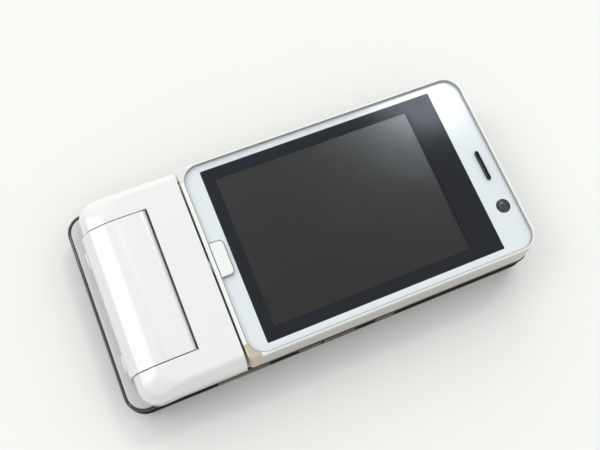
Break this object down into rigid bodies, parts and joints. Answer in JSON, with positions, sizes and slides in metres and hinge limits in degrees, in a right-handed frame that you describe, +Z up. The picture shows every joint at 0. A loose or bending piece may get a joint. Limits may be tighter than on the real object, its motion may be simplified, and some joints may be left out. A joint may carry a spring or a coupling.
{
  "type": "mobile phone",
  "caption": "Folding phone with a display half that folds on a base and turns about its own length, closed with the display outwards; sprung keypad, side keys, sliding battery cover.",
  "frame": {"origin": "middle of the underside that the closed phone lies on", "axes": "+X from the hinge end to the earpiece end, +Y away from the side keys, +Z up through the display"},
  "size_m": [0.1014, 0.0486, 0.019],
  "materials": {
    "pearl_white": "glossy pearl",
    "white_print": "white print under clear plastic",
    "silver_side": "satin silver paint",
    "silver_back": "glossy pearl silver",
    "champagne": "mirror champagne plating",
    "dark_gloss": "glossy dark",
    "bright_trim": "polished",
    "clear_panel": "clear acrylic",
    "camera_glass": "tinted clear",
    "black_print": "black print under clear plastic",
    "dark_screen": "dark display glass",
    "key_white": "glossy keys",
    "key_silver": "satin plated keys",
    "steel": "plain steel",
    "screw_steel": "dark plated screws",
    "bush_brass": "turned",
    "board_green": "solder mask",
    "battery_film": "film wrap",
    "mat_rubber": "soft matte",
    "lens_black": "black lens unit",
    "unit_black": "moulded black"
  },
  "bodies": {
    "base": {"base_front_case": "pearl_white", "base_side_frame": "dark_gloss", "base_trim_band": "bright_trim", "base_rear_case": "dark_gloss", "knuckle_cover": "pearl_white", "fold_hinge_unit": "steel", "fold_bush": "bush_brass", "main_board": "board_green", "shield_can": "steel", "battery_pack": "battery_film", "key_mat": "mat_rubber", "loudspeaker": "unit_black", "vibration_motor": "steel", "microphone": "unit_black", "system_connector": "unit_black", "camera_module": "lens_black", "camera_window": "camera_glass", "base_screws": "screw_steel"},
    "hinge_block": {"hinge_outer_cover": "pearl_white", "hinge_inner_cover": "silver_back", "hinge_bracket": "steel", "fold_pins": "steel", "swivel_bush": "bush_brass", "hinge_screws": "screw_steel"},
    "display_half": {"display_frame": "silver_side", "display_rear_case": "silver_back", "corner_caps": "champagne", "front_panel": "clear_panel", "panel_print": "white_print", "window_mask": "black_print", "lcd_module": "dark_screen", "display_board": "board_green", "earpiece": "unit_black", "sub_camera": "lens_black", "swivel_shaft": "steel", "shaft_cover": "pearl_white", "display_screws": "screw_steel"},
    "battery_cover": {"battery_cover": "dark_gloss"},
    "key_1": {"key_1": "key_white"},
    "key_2": {"key_2": "key_white"},
    "key_3": {"key_3": "key_white"},
    "key_4": {"key_4": "key_white"},
    "key_5": {"key_5": "key_white"},
    "key_6": {"key_6": "key_white"},
    "key_7": {"key_7": "key_white"},
    "key_8": {"key_8": "key_white"},
    "key_9": {"key_9": "key_white"},
    "key_star": {"key_star": "key_white"},
    "key_0": {"key_0": "key_white"},
    "key_hash": {"key_hash": "key_white"},
    "nav_ring": {"nav_ring": "key_silver"},
    "nav_center": {"nav_center": "key_white"},
    "soft_key_left": {"soft_key_left": "key_white"},
    "soft_key_right": {"soft_key_right": "key_white"},
    "call_key": {"call_key": "key_white"},
    "end_key": {"end_key": "key_white"},
    "side_key_a": {"side_key_a": "key_silver"},
    "side_key_b": {"side_key_b": "key_silver"},
    "side_key_c": {"side_key_c": "key_silver"}
  },
  "joints": [
    {"name": "fold", "type": "hinge", "parent": "base", "child": "hinge_block", "pos_m": [-0.04225, 0, 0.0141], "axis": [0, -1, 0], "range_deg": [0, 165]},
    {"name": "swivel", "type": "hinge", "parent": "hinge_block", "child": "display_half", "pos_m": [-0.02295, 0, 0.01475], "axis": [1, 0, 0], "range_deg": [0, 180]},
    {"name": "battery_cover_slide", "type": "slide", "parent": "base", "child": "battery_cover", "axis": [1, 0, 0], "range_m": [0, 0.008]},
    {"name": "key_1_press", "type": "slide", "parent": "base", "child": "key_1", "axis": [0, 0, -1], "range_m": [0, 0.00025], "stiffness_N_per_m": 1000},
    {"name": "key_2_press", "type": "slide", "parent": "base", "child": "key_2", "axis": [0, 0, -1], "range_m": [0, 0.00025], "stiffness_N_per_m": 1000},
    {"name": "key_3_press", "type": "slide", "parent": "base", "child": "key_3", "axis": [0, 0, -1], "range_m": [0, 0.00025], "stiffness_N_per_m": 1000},
    {"name": "key_4_press", "type": "slide", "parent": "base", "child": "key_4", "axis": [0, 0, -1], "range_m": [0, 0.00025], "stiffness_N_per_m": 1000},
    {"name": "key_5_press", "type": "slide", "parent": "base", "child": "key_5", "axis": [0, 0, -1], "range_m": [0, 0.00025], "stiffness_N_per_m": 1000},
    {"name": "key_6_press", "type": "slide", "parent": "base", "child": "key_6", "axis": [0, 0, -1], "range_m": [0, 0.00025], "stiffness_N_per_m": 1000},
    {"name": "key_7_press", "type": "slide", "parent": "base", "child": "key_7", "axis": [0, 0, -1], "range_m": [0, 0.00025], "stiffness_N_per_m": 1000},
    {"name": "key_8_press", "type": "slide", "parent": "base", "child": "key_8", "axis": [0, 0, -1], "range_m": [0, 0.00025], "stiffness_N_per_m": 1000},
    {"name": "key_9_press", "type": "slide", "parent": "base", "child": "key_9", "axis": [0, 0, -1], "range_m": [0, 0.00025], "stiffness_N_per_m": 1000},
    {"name": "key_star_press", "type": "slide", "parent": "base", "child": "key_star", "axis": [0, 0, -1], "range_m": [0, 0.00025], "stiffness_N_per_m": 1000},
    {"name": "key_0_press", "type": "slide", "parent": "base", "child": "key_0", "axis": [0, 0, -1], "range_m": [0, 0.00025], "stiffness_N_per_m": 1000},
    {"name": "key_hash_press", "type": "slide", "parent": "base", "child": "key_hash", "axis": [0, 0, -1], "range_m": [0, 0.00025], "stiffness_N_per_m": 1000},
    {"name": "nav_ring_press", "type": "slide", "parent": "base", "child": "nav_ring", "axis": [0, 0, -1], "range_m": [0, 0.00025], "stiffness_N_per_m": 1000},
    {"name": "nav_center_press", "type": "slide", "parent": "base", "child": "nav_center", "axis": [0, 0, -1], "range_m": [0, 0.00025], "stiffness_N_per_m": 1000},
    {"name": "soft_key_left_press", "type": "slide", "parent": "base", "child": "soft_key_left", "axis": [0, 0, -1], "range_m": [0, 0.00025], "stiffness_N_per_m": 1000},
    {"name": "soft_key_right_press", "type": "slide", "parent": "base", "child": "soft_key_right", "axis": [0, 0, -1], "range_m": [0, 0.00025], "stiffness_N_per_m": 1000},
    {"name": "call_key_press", "type": "slide", "parent": "base", "child": "call_key", "axis": [0, 0, -1], "range_m": [0, 0.00025], "stiffness_N_per_m": 1000},
    {"name": "end_key_press", "type": "slide", "parent": "base", "child": "end_key", "axis": [0, 0, -1], "range_m": [0, 0.00025], "stiffness_N_per_m": 1000},
    {"name": "side_key_a_press", "type": "slide", "parent": "base", "child": "side_key_a", "axis": [0, 1, 0], "range_m": [0, 0.0003], "stiffness_N_per_m": 1000},
    {"name": "side_key_b_press", "type": "slide", "parent": "base", "child": "side_key_b", "axis": [0, 1, 0], "range_m": [0, 0.0003], "stiffness_N_per_m": 1000},
    {"name": "side_key_c_press", "type": "slide", "parent": "base", "child": "side_key_c", "axis": [0, 1, 0], "range_m": [0, 0.0003], "stiffness_N_per_m": 1000}
  ],
  "couplings": [
    {"joint": "swivel", "follows": "fold", "ratio": 1.0909}
  ]
}
